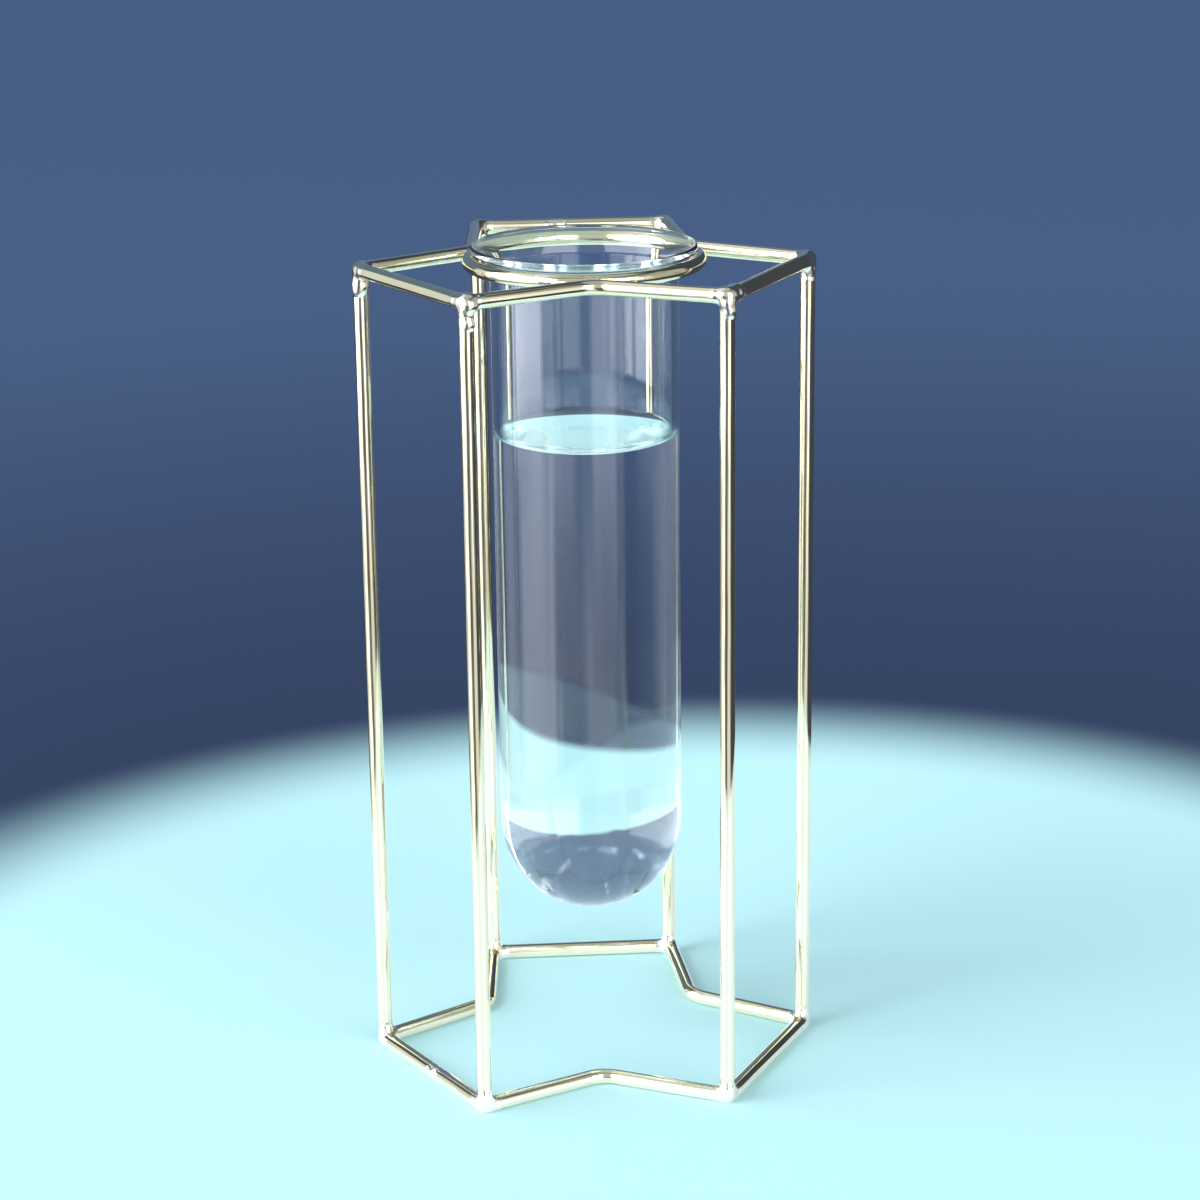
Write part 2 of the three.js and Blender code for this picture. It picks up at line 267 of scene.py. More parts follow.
# Glass and water
GLASS_TINT = (0.965, 0.985, 0.98, 1)
GLASS_INDEX = 1.473
DRAWN_STRETCH = (420.0, 420.0, 6.0)
DRAWN_DEPTH = 0.02 * MM
DRAWN_STRENGTH = 0.25
RUBBED_SCALE = 160.0
RUBBED_LIMITS = (0.66, 0.8)
RUBBED_ROUGHNESS = (0.0, 0.06)
WATER_INDEX = 1.333
WATER_CLEAR = (0.985, 0.995, 0.995)
WATER_TINT = (0.97, 0.99, 0.995)
CLOUD_SCALE = 60.0
CLOUD_LIMITS = (0.3, 0.7)
CLOUD_DEPTH = 0.03 * MM
CLOUD_STRENGTH = 0.1


def glass_material():
    """Drawn glass: clear, with faint lines along the tube and the odd rubbed spot."""
    material, tree, shader = new_material("clear_drawn_glass")
    shader.inputs["Transmission Weight"].default_value = 1.0
    shader.inputs["IOR"].default_value = GLASS_INDEX
    shader.inputs["Base Color"].default_value = GLASS_TINT
    body = object_place(tree)
    lines = noise_node(tree, stretched(tree, body, DRAWN_STRETCH), 1.0)
    rubbed = noise_node(tree, body, RUBBED_SCALE, detail=5.0, roughness=0.6)
    rough = smooth_step(tree, rubbed, *RUBBED_LIMITS, *RUBBED_ROUGHNESS)
    tree.links.new(rough, shader.inputs["Roughness"])
    tree.links.new(bump(tree, lines, DRAWN_DEPTH, DRAWN_STRENGTH), shader.inputs["Normal"])
    return material


def water_material():
    """Clear water, with the faintest change of tint and of surface."""
    material, tree, shader = new_material("clear_water")
    shader.inputs["Transmission Weight"].default_value = 1.0
    shader.inputs["IOR"].default_value = WATER_INDEX
    shader.inputs["Roughness"].default_value = 0.0
    cloud = noise_node(tree, object_place(tree), CLOUD_SCALE)
    tint = mix_colour(tree, smooth_step(tree, cloud, *CLOUD_LIMITS), WATER_CLEAR, WATER_TINT)
    tree.links.new(tint, shader.inputs["Base Color"])
    tree.links.new(bump(tree, cloud, CLOUD_DEPTH, CLOUD_STRENGTH), shader.inputs["Normal"])
    return material


# Mesh helpers
WIRE_SIDES = 32


def mesh_piece(name, vertices, faces, material, body, cad_node):
    """Makes a smooth mesh that rides on a body, and hides the CAD node that it stands for."""
    mesh = bpy.data.meshes.new(name)
    mesh.from_pydata([tuple(v) for v in vertices], [], [tuple(f) for f in faces])
    mesh.validate()
    mesh.shade_smooth()
    mesh.materials.append(material)
    piece = bpy.data.objects.new(name, mesh)
    bpy.context.scene.collection.objects.link(piece)
    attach(piece, body)
    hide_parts(cad_node)
    return piece


def sweep(stations):
    """Rings of points round a line of (point, tangent, side vector), closed by a flat end at each end.

    The third thing that it gives is each ring's distance along the line.
    """
    vertices = []
    faces = []
    along = 0.0
    lengths = []
    previous = stations[0][0]
    for point, tangent, side in stations:
        along += (point - previous).length
        previous = point
        lengths.append(along)
        other = tangent.cross(side).normalized()
        for step in range(WIRE_SIDES):
            angle = 2 * math.pi * step / WIRE_SIDES
            vertices.append(point + (side * math.cos(angle) + other * math.sin(angle)) * wire_radius)
    count = len(stations)
    for ring in range(count - 1):
        for step in range(WIRE_SIDES):
            first = ring * WIRE_SIDES + step
            second = ring * WIRE_SIDES + (step + 1) % WIRE_SIDES
            faces.append((first, second, second + WIRE_SIDES, first + WIRE_SIDES))
    faces.append(tuple(reversed(range(WIRE_SIDES))))
    faces.append(tuple((count - 1) * WIRE_SIDES + step for step in range(WIRE_SIDES)))
    return vertices, faces, lengths


def add_wire_data(piece, lengths, grain):
    """UVs in millimetres, along and across the wire, and how dimpled it is."""
    mesh = piece.data
    layer = mesh.uv_layers.new(name="UVMap")
    for loop in mesh.loops:
        ring, step = divmod(loop.vertex_index, WIRE_SIDES)
        angle = 2 * math.pi * step / WIRE_SIDES
        layer.data[loop.index].uv = (lengths[ring] / MM, wire_radius / MM * math.cos(angle))
    attribute = mesh.attributes.new("grain", "FLOAT", "POINT")
    for point in attribute.data:
        point.value = grain


def make_wire(name, stations, grain, material):
    """Replaces a CAD wire by one that is swept along the stations."""
    vertices, faces, lengths = sweep(stations)
    piece = mesh_piece(f"{name}_wire", vertices, faces, material, "stand", name)
    add_wire_data(piece, lengths, grain)


def direction(angle):
    return Vector((math.cos(angle), math.sin(angle), 0))


# The loops' outline: three outer edges with two sharp corners each, and three notches
NOTCH_ROUNDS = 20


def outline():
    """The corners before they are rounded, in a plane with the tube's axis at its origin.

    The rounding of a notch takes its wire outwards, so each round moves the notch's corner in by as much.
    """
    half = EDGE_LENGTH / 2
    start = direction(BACK) * edge_distance + direction(BACK + QUARTER_TURN) * half
    angle = BACK + THIRD_OF_A_TURN
    end = direction(angle) * edge_distance - direction(angle + QUARTER_TURN) * half
    notch_angle = BACK + THIRD_OF_A_TURN / 2
    distance = notch_reach
    for _ in range(NOTCH_ROUNDS):
        notch = direction(notch_angle) * distance
        half_turn = (notch - start).angle(end - notch) / 2
        distance = notch_reach - NOTCH_BEND * (1 / math.cos(half_turn) - 1)
    corners = []
    for third, (first_post, second_post, _) in enumerate(SIDES):
        angle = BACK + third * THIRD_OF_A_TURN
        for side, post in ((-1, first_post), (1, second_post)):
            point = direction(angle) * edge_distance + direction(angle + QUARTER_TURN) * half * side
            corners.append({"point": point, "bend": CORNER_BEND, "post": post})
        point = direction(angle + THIRD_OF_A_TURN / 2) * distance
        corners.append({"point": point, "bend": NOTCH_BEND, "post": None})
    return corners


corners = outline()


def corner_index(post):
    return next(index for index, corner in enumerate(corners) if corner["post"] == post)


def bend_stations(index, steps):
    """The rounded corner as (point, tangent) pairs, in the outline's plane."""
    corner = corners[index]
    before = corners[index - 1]["point"]
    after = corners[(index + 1) % len(corners)]["point"]
    arriving = (corner["point"] - before).normalized()
    leaving = (after - corner["point"]).normalized()
    turn = arriving.angle(leaving)
    left = math.copysign(1, arriving.x * leaving.y - arriving.y * leaving.x)
    outward = (arriving - leaving).normalized()
    centre = corner["point"] - outward * corner["bend"] / math.cos(turn / 2)
    found = []
    for step in range(steps + 1):
        swing = Matrix.Rotation(left * turn * (step / steps - 0.5), 3, "Z")
        spoke = swing @ outward
        tangent = Matrix.Rotation(left * QUARTER_TURN, 3, "Z") @ spoke
        found.append((centre + spoke * corner["bend"], tangent))
    return found


STRAIGHT_STEP = 1.6 * MM
CORNER_STEPS = 14
NOTCH_STEPS = 20
WAVE = 0.035 * MM
WAVE_SCALE = 70.0
SEED_SLANT = 2.3
WAVE_STATE = 1

# The vector noise has a random state of its own, and with this one each run gives the same waves
noise.seed_set(WAVE_STATE)


def waved(point, seed):
    """Hand-bent wire is never quite straight."""
    shift = noise.noise_vector(point * WAVE_SCALE + Vector((seed, SEED_SLANT * seed, 0)))
    return point + shift * WAVE


def fill_straights(pairs):
    """Adds points on the straight stretches, so that the wire can be slightly wavy."""
    filled = [pairs[0]]
    for (start, _), (end, end_tangent) in zip(pairs, pairs[1:]):
        steps = max(1, round((end - start).length / STRAIGHT_STEP))
        for step in range(1, steps):
            filled.append((start.lerp(end, step / steps), (end - start).normalized()))
        filled.append((end, end_tangent))
    return filled


def loop_line(post_before, shift):
    """The loop from one side of its butt weld round to the other, and the weld's place and direction.

    The weld is on the edge after post_before, at this shift from the edge's middle.
    """
    first = corner_index(post_before)
    start = corners[first]["point"]
    end = corners[(first + 1) % len(corners)]["point"]
    along = (end - start).normalized()
    weld = (start + end) / 2 + along * shift
    pairs = [(weld + along * BUTT_SLOT / 2, along)]
    for index in range(1, len(corners) + 1):
        corner = (first + index) % len(corners)
        steps = CORNER_STEPS if corners[corner]["post"] else NOTCH_STEPS
        pairs += bend_stations(corner, steps)
    pairs.append((weld - along * BUTT_SLOT / 2, along))
    return fill_straights(pairs), weld, along


# How dimpled the plating of each wire is, from 0 to 1
LOOP_GRAIN = 0.12
RING_GRAIN = 0.1
POST_GRAIN = 0.05


def make_loop(name, level, post_before, shift, material, resting=False):
    """Replaces a loop, and gives its butt weld's place and direction.

    A resting loop lies on the table, so none of its waves go below its level.
    """
    pairs, weld, along = loop_line(post_before, shift)
    lift = axis + UP * level
    stations = []
    for point, tangent in pairs:
        place = waved(point + lift, SEEDS[name])
        if resting:
            place += UP * max(0.0, level - place.z)
        stations.append((place, tangent, UP))
    make_wire(name, stations, LOOP_GRAIN, material)
    return weld + lift, along


RING_STEPS = 150


def make_ring(material):
    slot = BUTT_SLOT / 2 / ring_radius
    stations = []
    for step in range(RING_STEPS + 1):
        angle = RING_BUTT_ANGLE + slot + (2 * math.pi - 2 * slot) * step / RING_STEPS
        point = axis + UP * ring_level + direction(angle) * ring_radius
        stations.append((waved(point, SEEDS["tube_ring"]), direction(angle + QUARTER_TURN), UP))
    make_wire("tube_ring", stations, RING_GRAIN, material)


POST_REACH = 2.6 * MM
POST_STEP = 2.5 * MM


def post_spot(place, level):
    low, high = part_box(f"post_{place}")
    return Vector(((low.x + high.x) / 2, (low.y + high.y) / 2, level))


def make_post(place, seed, material):
    """Replaces a post. Its wire reaches on into the weld metal at both ends."""
    low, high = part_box(f"post_{place}")
    bottom = low.z - POST_REACH
    top = high.z + POST_REACH
    steps = round((top - bottom) / POST_STEP)
    stations = []
    for step in range(steps + 1):
        point = post_spot(place, bottom + (top - bottom) * step / steps)
        stations.append((waved(point, seed), UP, Vector((1, 0, 0))))
    make_wire(f"post_{place}", stations, POST_GRAIN, material)


# Weld metal: a smooth blend of tapered bars and drops, drawn over the wires that it joins
NO_LENGTH = 1e-12
NO_SLOPE = 1e-9
SLOPE_STEP = 0.01 * MM


def bar_distance(points, bar):
    """Distance from a tapered bar (start, end, start radius, end radius). A drop is a bar of no length."""
    start, end, first, last = bar
    start = np.array(start)
    span = np.array(end) - start
    square = float(span @ span)
    share = np.zeros(len(points))
    if square > NO_LENGTH:
        share = np.clip((points - start) @ span / square, 0, 1)
    away = np.linalg.norm(points - start - share[:, None] * span, axis=1)
    return away - (first + (last - first) * share)


def chain_distance(points, chain):
    """Distance from bars that follow one wire, which need no fillet between them."""
    return np.min([bar_distance(points, bar) for bar in chain], axis=0)


def blend_distance(points, chains, softness):
    """The chains' smooth union, and how much of it is fillet."""
    total = chain_distance(points, chains[0])
    hard = total.copy()
    for chain in chains[1:]:
        other = chain_distance(points, chain)
        near = np.clip(0.5 + 0.5 * (other - total) / softness, 0, 1)
        total = other + (total - other) * near - softness * near * (1 - near)
        hard = np.minimum(hard, other)
    deepest = softness / 4
    return total, np.clip((hard - total) / deepest, 0, 1)


def blend_normals(points, chains, softness):
    slopes = []
    for side in np.eye(3):
        ahead, _ = blend_distance(points + side * SLOPE_STEP, chains, softness)
        behind, _ = blend_distance(points - side * SLOPE_STEP, chains, softness)
        slopes.append((ahead - behind) / (2 * SLOPE_STEP))
    gradient = np.array(slopes).T
    return gradient / np.maximum(np.linalg.norm(gradient, axis=1)[:, None], NO_SLOPE)


BALL_SPACING = 0.3 * MM
BALL_SUBDIVISIONS = 2
VOXEL = 0.16 * MM
LAYING_ROUNDS = 4
WELD_RIPPLE = 0.008 * MM
WELD_RIPPLE_SCALE = 700
SAME_POINT = 0.002 * MM


def ball_mesh(name, chains):
    """Overlapping balls along every bar."""
    build = bmesh.new()
    for start, end, first, last in sum(chains, []):
        steps = max(1, math.ceil((Vector(end) - Vector(start)).length / BALL_SPACING))
        for step in range(steps + 1):
            share = step / steps
            place = Matrix.Translation(Vector(start).lerp(Vector(end), share))
            radius = first + (last - first) * share
            bmesh.ops.create_icosphere(build, subdivisions=BALL_SUBDIVISIONS, radius=radius, matrix=place)
    mesh = bpy.data.meshes.new(name)
    build.to_mesh(mesh)
    build.free()
    return mesh


def remeshed(name, balls):
    """A new object with one closed skin over all the balls."""
    piece = bpy.data.objects.new(name, balls)
    bpy.context.scene.collection.objects.link(piece)
    remesh = piece.modifiers.new("skin", "REMESH")
    remesh.mode = "VOXEL"
    remesh.voxel_size = VOXEL
    graph = bpy.context.evaluated_depsgraph_get()
    skin = bpy.data.meshes.new_from_object(piece.evaluated_get(graph))
    piece.modifiers.clear()
    piece.data = skin
    bpy.data.meshes.remove(balls)
    skin.name = name
    return piece


def mesh_points(mesh):
    return np.array([vertex.co for vertex in mesh.vertices], float)


def merge_points(mesh):
    """Joins points that the fit or the table has pressed into one place."""
    build = bmesh.new()
    build.from_mesh(mesh)
    bmesh.ops.remove_doubles(build, verts=build.verts, dist=SAME_POINT)
    build.to_mesh(mesh)
    build.free()


def make_weld(name, chains, softness, seed, material, floor=None, ripple=WELD_RIPPLE):
    """Replaces a weld by one skin that lies rippled on the chains' smooth union, and not below the floor."""
    piece = remeshed(f"{name}_metal", ball_mesh(name, chains))
    skin = piece.data
    points = mesh_points(skin)
    for _ in range(LAYING_ROUNDS):
        distance, _ = blend_distance(points, chains, softness)
        points -= blend_normals(points, chains, softness) * distance[:, None]
    normals = blend_normals(points, chains, softness)
    waves = [noise.noise(Vector(point) * WELD_RIPPLE_SCALE + Vector((seed, 0, 0))) for point in points]
    points += normals * np.array(waves)[:, None] * ripple
    if floor is not None:
        points[:, 2] = np.maximum(points[:, 2], floor)
    skin.vertices.foreach_set("co", points.astype(np.float32).ravel())
    merge_points(skin)
    _, fillet = blend_distance(mesh_points(skin), chains, softness)
    attribute = skin.attributes.new("crevice", "FLOAT", "POINT")
    attribute.data.foreach_set("value", fillet.astype(np.float32))
    skin.update()
    skin.shade_smooth()
    skin.materials.clear()
    skin.materials.append(material)
    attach(piece, "stand")
    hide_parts(name)


# The welds between posts and loops: sleeves that thin out along the wires, and drops.
# What the photo shows at each corner: drops of weld metal as (right, back, along the post, radius) in mm
TOP_DROPS = {
    "left": [(-0.5, -0.6, 2.9, 1.05), (-0.4, -0.6, 4.4, 1.0), (0.5, -0.6, 3.4, 0.9)],
    "front_left": [(0.7, -0.8, 0.8, 1.15), (0.5, -0.7, 4.5, 0.95)],
    "front_right": [(1.5, 2.6, 0.0, 1.73), (0.0, -0.8, 1.6, 1.0), (0.5, -0.8, 3.2, 0.9)],
    "right": [(0.4, -0.6, 2.3, 0.9)],
    "back_left": [(0.7, -0.7, 0.8, 1.15), (-0.5, -0.6, 2.8, 0.9)],
    "back_right": [(-0.6, -0.9, 0.8, 1.2), (0.4, -0.6, 2.9, 0.9)],
}
FOOT_DROPS = {
    "left": [(0.3, -0.6, 1.9, 0.95)],
    "front_left": [(0.6, -0.7, 1.3, 1.0), (0.2, -0.6, 2.6, 0.95)],
    "front_right": [(0.1, -0.7, 1.5, 1.15)],
    "right": [(-0.3, -0.6, 1.9, 0.95)],
    "back_left": [(0.5, -0.6, 1.9, 0.9)],
    "back_right": [(-0.6, -0.6, 1.7, 0.9)],
}
WELD_SOFTNESS = 1.2 * MM
WELD_BEND_STEPS = 4
LOOP_SLEEVE = 3.2 * MM
LOOP_OVER = 0.05 * MM
POST_SLEEVE = 5.4 * MM
POST_OVER = 0.1 * MM
SLEEVE_UNDER = 0.12 * MM
REST_LEVEL = 0.0


def sleeve(start, towards, length, over):
    """Weld metal that thins out along a wire until it lies under the wire's own surface."""
    end = start + towards.normalized() * length
    return (start, end, wire_radius + over, wire_radius - SLEEVE_UNDER)


def drop(centre, radius):
    """A chain of one ball of weld metal."""
    return [(centre, centre, radius, radius)]


def corner_chains(place, level, reach):
    """The weld metal over one corner's loop and post. The post goes up from the loop where reach is 1."""
    pairs = bend_stations(corner_index(place), WELD_BEND_STEPS)
    lift = axis + UP * level
    radius = wire_radius + LOOP_OVER
    bend = [(start + lift, end + lift, radius, radius) for (start, _), (end, _) in zip(pairs, pairs[1:])]
    bend.append(sleeve(pairs[0][0] + lift, -pairs[0][1], LOOP_SLEEVE, LOOP_OVER))
    bend.append(sleeve(pairs[-1][0] + lift, pairs[-1][1], LOOP_SLEEVE, LOOP_OVER))
    return [bend, [sleeve(post_spot(place, level), UP * reach, POST_SLEEVE, POST_OVER)]]


def make_post_weld(place, end, level, reach, drops, seed, material, floor=None):
    chains = corner_chains(place, level, reach)
    for right, back, away, radius in drops:
        shift = Vector((right, back, reach * away)) * MM
        chains.append(drop(post_spot(place, level) + shift, radius * MM))
    make_weld(f"post_{place}_{end}_weld", chains, WELD_SOFTNESS, seed, material, floor)


# The butt welds: the weld metal's edge by distance along the wire and height over the wire's surface,
# and the beads on it as (right, back, up, radius) in mm
BUTT_EDGE = [(-3.0 * MM, -0.03 * MM), (-1.0 * MM, 0.02 * MM), (1.0 * MM, 0.02 * MM), (3.0 * MM, -0.03 * MM)]
BUTT_SOFTNESS = 0.3 * MM
BUTT_RIPPLE = 0.004 * MM
TOP_BUTT_BEAD = (0.3, -0.3, 0.2, 1.27)
BOTTOM_BUTT_BEAD = (-0.2, -0.35, 0.25, 1.4)


def make_butt_weld(name, wire_at, beads, material, floor=None):
    """Closes a bent wire: weld metal run over both ends, a little proud, and beads on it.

    wire_at gives the middle of the wire at a distance from the joint.
    """
    ends = [(wire_at(distance), wire_radius + over) for distance, over in BUTT_EDGE]
    chains = [[(start, end, first, last) for (start, first), (end, last) in zip(ends, ends[1:])]]
    for right, back, up, radius in beads:
        chains.append(drop(wire_at(0.0) + Vector((right, back, up)) * MM, radius * MM))
    make_weld(name, chains, BUTT_SOFTNESS, SEEDS[name], material, floor, BUTT_RIPPLE)


# The welds between the ring and the notches
RING_WELD_REACH = 1.2 * MM
RING_WELD_UNDER = 0.02 * MM
RING_WELD_LIFT = 0.3 * MM
RING_WELD_CORE = 0.5 * MM
RING_WELD_SOFTNESS = 0.6 * MM


def make_ring_weld(place, angle, seed, material):
    """Weld metal that runs into the crevice between the ring and a notch of the top loop."""
    ring_spot = axis + direction(angle) * ring_radius + UP * ring_level
    loop_spot = axis + direction(angle) * notch_reach + UP * upper_level
    reach = direction(angle + QUARTER_TURN) * RING_WELD_REACH
    radius = wire_radius - RING_WELD_UNDER
    chains = [[(spot - reach, spot + reach, radius, radius)] for spot in (ring_spot, loop_spot)]
    middle = (ring_spot + loop_spot) / 2 + UP * RING_WELD_LIFT
    chains.append([(middle - reach, middle + reach, RING_WELD_CORE, RING_WELD_CORE)])
    make_weld(f"ring_weld_{place}", chains, RING_WELD_SOFTNESS, seed, material)


# Turned shapes
TURNED_SEGMENTS = 240
STRAIGHT_ROWS = 50
ON_AXIS = 1e-7


def arc(points, centre, radius, start, end, steps):
    """Adds an arc to a profile, without its first point where the profile is already there."""
    for step in range(steps + 1):
        angle = start + (end - start) * step / steps
        point = (max(0.0, centre[0] + radius * math.cos(angle)), centre[1] + radius * math.sin(angle))
        if not points or math.dist(point, points[-1]) > SAME_POINT:
            points.append(point)


def wall(points, reach, start, end):
    """Adds a straight wall to a profile, without its two ends."""
    for step in range(1, STRAIGHT_ROWS):
        points.append((reach, start + (end - start) * step / STRAIGHT_ROWS))


def lathe(profile, wobble):
    """Turns a profile of (reach, height) round the tube's axis. It starts and ends on the axis."""
    vertices = []
    rows = []
    for reach, height in profile:
        if reach < ON_AXIS:
            rows.append([len(vertices)])
            vertices.append(axis + UP * height)
            continue
        rows.append(list(range(len(vertices), len(vertices) + TURNED_SEGMENTS)))
        for step in range(TURNED_SEGMENTS):
            angle = 2 * math.pi * step / TURNED_SEGMENTS
            out = reach + wobble(reach, height, angle)
            vertices.append(axis + direction(angle) * out + UP * height)
    faces = []
    for low, high in zip(rows, rows[1:]):
        for step in range(TURNED_SEGMENTS):
            after = (step + 1) % TURNED_SEGMENTS
            if len(low) == 1:
                faces.append((low[0], high[after], high[step]))
            elif len(high) == 1:
                faces.append((low[step], low[after], high[0]))
            else:
                faces.append((low[step], low[after], high[after], high[step]))
    return vertices, faces


# The glass tube
LIP_STEPS = 18
FLARE_STEPS = 16
ROUND_STEPS = 48
BLOWN_FROM = 0.28
BLOWN_SCALE = 200.0
BLOWN_DEPTH = 0.006 * MM
STREAKS_ROUND = 18.0
STREAK_LENGTH = 3.0 * MM
STREAK_LIMIT = 0.34
STREAK_DEPTH = 0.5 * MM
WALL_SCALE = 40.0
WALL_DEPTH = 0.012 * MM


def tube_profile():
    """From the bottom up the outside, over the lip and down the bore."""
    lip_radius = TUBE_WALL / 2
    lip_reach = lip_outside - lip_radius
    lip_level = tube_high.z - lip_radius
    flare_reach = tube_radius + FLARE_RADIUS
    flare_end = math.acos((flare_reach - lip_reach) / (FLARE_RADIUS + lip_radius))
    flare_level = lip_level - (FLARE_RADIUS + lip_radius) * math.sin(flare_end)
    bottom = (0.0, tube_low.z + tube_radius)
    flare = (flare_reach, flare_level)
    points = []
    arc(points, bottom, tube_radius, -QUARTER_TURN, 0, ROUND_STEPS)
    wall(points, tube_radius, bottom[1], flare_level)
    arc(points, flare, FLARE_RADIUS, math.pi, math.pi - flare_end, FLARE_STEPS)
    arc(points, (lip_reach, lip_level), lip_radius, -flare_end, math.pi - flare_end, LIP_STEPS)
    arc(points, flare, FLARE_RADIUS + TUBE_WALL, math.pi - flare_end, math.pi, FLARE_STEPS)
    wall(points, bore_radius, flare_level, bottom[1])
    arc(points, bottom, bore_radius, 0, -QUARTER_TURN, ROUND_STEPS)
    return points


def glass_wobble(reach, height, angle):
    """The blown end is a little uneven and streaked below its widest part, and the wall hardly at all."""
    spot = direction(angle) * reach + UP * height
    depth = min(1.0, max(0.0, (tube_low.z + tube_radius - height) / tube_radius))
    fade = min(1.0, max(0.0, (depth - BLOWN_FROM) / (1 - BLOWN_FROM)))
    blown = noise.noise(spot * BLOWN_SCALE) * BLOWN_DEPTH
    turned = direction(angle) * STREAKS_ROUND + UP * (height / STREAK_LENGTH)
    streak = max(0.0, noise.noise(turned) - STREAK_LIMIT) * STREAK_DEPTH
    slow = noise.noise(spot * WALL_SCALE) * WALL_DEPTH
    return (blown + streak) * fade + slow


def make_tube(material):
    vertices, faces = lathe(tube_profile(), glass_wobble)
    mesh_piece("glass_tube_blown", vertices, faces, material, "tube", "glass_tube")


# The water. It overlaps the glass a little, so that no air is left between them
WATER_OVERLAP = 0.06 * MM
LEVEL_SHIFT = -1.0 * MM
CAPILLARY_LENGTH = 2.7 * MM
CONTACT_ANGLE = math.radians(24)
MENISCUS_STEPS = 40
MENISCUS_REACH = 0.8
RIM_SUPPORT = 0.02 * MM
AT_WALL = 0.01 * MM


def meniscus(slope):
    """Distance from the wall and height over the level surface where the climbing water has this slope."""
    def run(angle):
        return CAPILLARY_LENGTH * (2 * math.cos(angle / 2) - math.log(1 / math.tan(angle / 4)))

    return run(QUARTER_TURN - CONTACT_ANGLE) - run(slope), 2 * CAPILLARY_LENGTH * math.sin(slope / 2)


def water_profile():
    """From the bottom up the wall to the rim, and down the meniscus to the level middle."""
    bottom = (0.0, tube_low.z + tube_radius)
    reach = bore_radius + WATER_OVERLAP
    level = water_high.z + LEVEL_SHIFT
    steepest = QUARTER_TURN - CONTACT_ANGLE
    _, rise = meniscus(steepest)
    rim = level + rise
    points = []
    arc(points, bottom, reach, -QUARTER_TURN, 0, ROUND_STEPS)
    wall(points, reach, bottom[1], rim)
    points.append((reach, rim - RIM_SUPPORT))
    points.append((reach, rim))
    for step in range(MENISCUS_STEPS):
        inward, up = meniscus(steepest * (1 - step / MENISCUS_STEPS))
        if inward < bore_radius * MENISCUS_REACH:
            points.append((bore_radius - inward, level + up))
    points.append((0.0, level))
    return points


def water_wobble(reach, height, angle):
    """The water follows the glass where it lies against it."""
    return glass_wobble(reach, height, angle) if reach > bore_radius - AT_WALL else 0.0


def make_water(material):
    vertices, faces = lathe(water_profile(), water_wobble)
    mesh_piece("water_body", vertices, faces, material, "tube", "water")


# Stage: a pale floor that turns dark blue further out. Its places are in metres
FLOOR_SIZE = 8
FLOOR_CENTRE = (0.026, -0.015, 0)
FLOOR_NEAR = (0.48, 0.785, 0.81)
FLOOR_MIRRORED = (0.57, 0.86, 0.90)
FLOOR_FAR = (0.062, 0.102, 0.197)
FLOOR_DARK = (0.031, 0.046, 0.095)
FLOOR_GLOW = (0.20, 0.16, 0.30)
FLOOR_ROUGHNESS = 0.38
FLOOR_GLOSS = 0.5
PALE_EDGE = (0.185, 0.25)
GLASS_EDGE = (0.209, 0.220)
DARK_REACH = (0.15, 0.95)


def make_floor():
    """The pale part ends softly, or crisply for rays that come through glass.

    Seen directly or straight through glass the floor is matt, so that no shine hides its colours.
    In mirrored rays it is glossy and glows a little. Past the crisp edge, mirrored rays and rays that come
    through glass see the room instead.
    """
    bpy.ops.mesh.primitive_plane_add(size=FLOOR_SIZE, location=(0, 0, 0))
    floor = bpy.context.object
    floor.name = "floor"
    material, tree, shader = new_material("pale_floor")
    place = object_place(tree)
    centred = {0: place, 1: FLOOR_CENTRE}
    middle = node(tree, "ShaderNodeVectorMath", centred, operation="SUBTRACT").outputs["Vector"]
    away = node(tree, "ShaderNodeVectorMath", {0: middle}, operation="LENGTH").outputs["Value"]
    rays = node(tree, "ShaderNodeLightPath").outputs
    through_glass = rays["Is Transmission Ray"]
    soft = smooth_step(tree, away, *PALE_EDGE)
    crisp = smooth_step(tree, away, *GLASS_EDGE)
    fade = node(tree, "ShaderNodeMix", {0: through_glass, 2: soft, 3: crisp}).outputs[0]
    distant = mix_colour(tree, smooth_step(tree, away, *DARK_REACH), FLOOR_DARK, FLOOR_FAR)
    tree.links.new(mix_colour(tree, fade, FLOOR_MIRRORED, distant), shader.inputs["Base Color"])
    seen = mix_colour(tree, fade, FLOOR_NEAR, distant)
    matt = node(tree, "ShaderNodeBsdfDiffuse", {"Color": seen}).outputs[0]
    shader.inputs["Roughness"].default_value = FLOOR_ROUGHNESS
    shader.inputs["Specular IOR Level"].default_value = FLOOR_GLOSS
    reflected = math_node(tree, "SUBTRACT", rays["Is Glossy Ray"], through_glass, clamp=True)
    near = math_node(tree, "SUBTRACT", 1.0, crisp)
    shader.inputs["Emission Color"].default_value = (*FLOOR_GLOW, 1)
    tree.links.new(math_node(tree, "MULTIPLY", reflected, near), shader.inputs["Emission Strength"])
    room = node(tree, "ShaderNodeBsdfTransparent").outputs[0]
    beyond = math_node(tree, "MULTIPLY", rays["Is Glossy Ray"], crisp)
    mirrored = math_node(tree, "MINIMUM", rays["Glossy Depth"], 1.0)
    pale = node(tree, "ShaderNodeMixShader", {0: mirrored, 1: matt, 2: shader.outputs[0]}).outputs[0]
    surface = node(tree, "ShaderNodeMixShader", {0: beyond, 1: pale, 2: room}).outputs[0]
    tree.links.new(surface, tree.nodes["Material Output"].inputs["Surface"])
    floor.data.materials.append(material)


